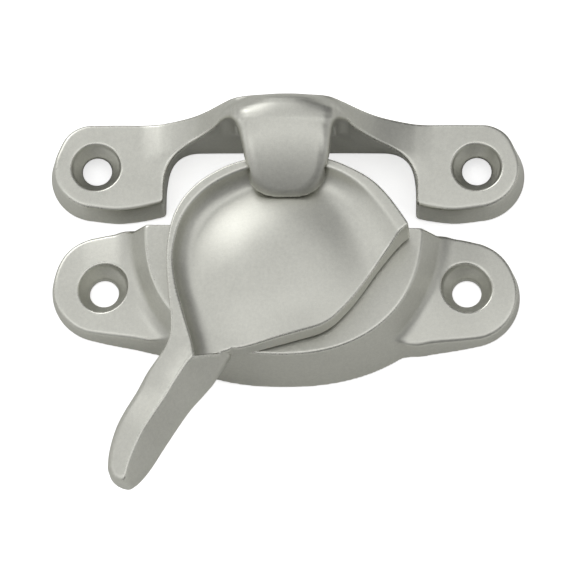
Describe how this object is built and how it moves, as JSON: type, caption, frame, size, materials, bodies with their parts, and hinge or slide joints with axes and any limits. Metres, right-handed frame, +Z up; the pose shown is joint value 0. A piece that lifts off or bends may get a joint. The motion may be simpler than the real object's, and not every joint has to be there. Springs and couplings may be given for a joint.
{
  "type": "window sash lock",
  "caption": "Cam-action window sash lock: a lever-turned cam on a two-hole base draws in a two-hole hooked keeper on the other sash.",
  "frame": {"origin": "midway between the two base screw holes, on the mounting face, on the cam's pivot axis", "axes": "+X along the meeting rails, +Y from the lock towards the keeper, +Z up from the mounting face along the pivot"},
  "size_m": [0.0676, 0.0551, 0.0186],
  "materials": {
    "satin_nickel": "satin nickel plate on cast metal, fine blasted grain",
    "zinc_steel": "bright zinc plated turned steel",
    "spring_steel": "tempered spring strip",
    "dark_washer": "hard black acetal"
  },
  "bodies": {
    "base": {"lock_base": "satin_nickel", "thrust_washer": "dark_washer", "spring_washer": "spring_steel", "detent_spring": "spring_steel"},
    "cam": {"cam_lever": "satin_nickel", "pivot_stud": "zinc_steel", "detent_collar": "zinc_steel", "retaining_washer": "zinc_steel"},
    "keeper_side": {"keeper": "satin_nickel"}
  },
  "joints": [
    {"name": "cam_turn", "type": "hinge", "parent": "base", "child": "cam", "pos_m": [0, 0, 0], "axis": [0, 0, 1], "range_deg": [0, 135], "deforming": ["detent_spring"]},
    {"name": "keeper_draw", "type": "slide", "parent": "base", "child": "keeper_side", "axis": [0, 1, 0], "range_m": [0, 0.0027]}
  ],
  "couplings": [
    {"joint": "keeper_draw", "follows": "cam_turn", "m_per_rad": 0.001145}
  ]
}
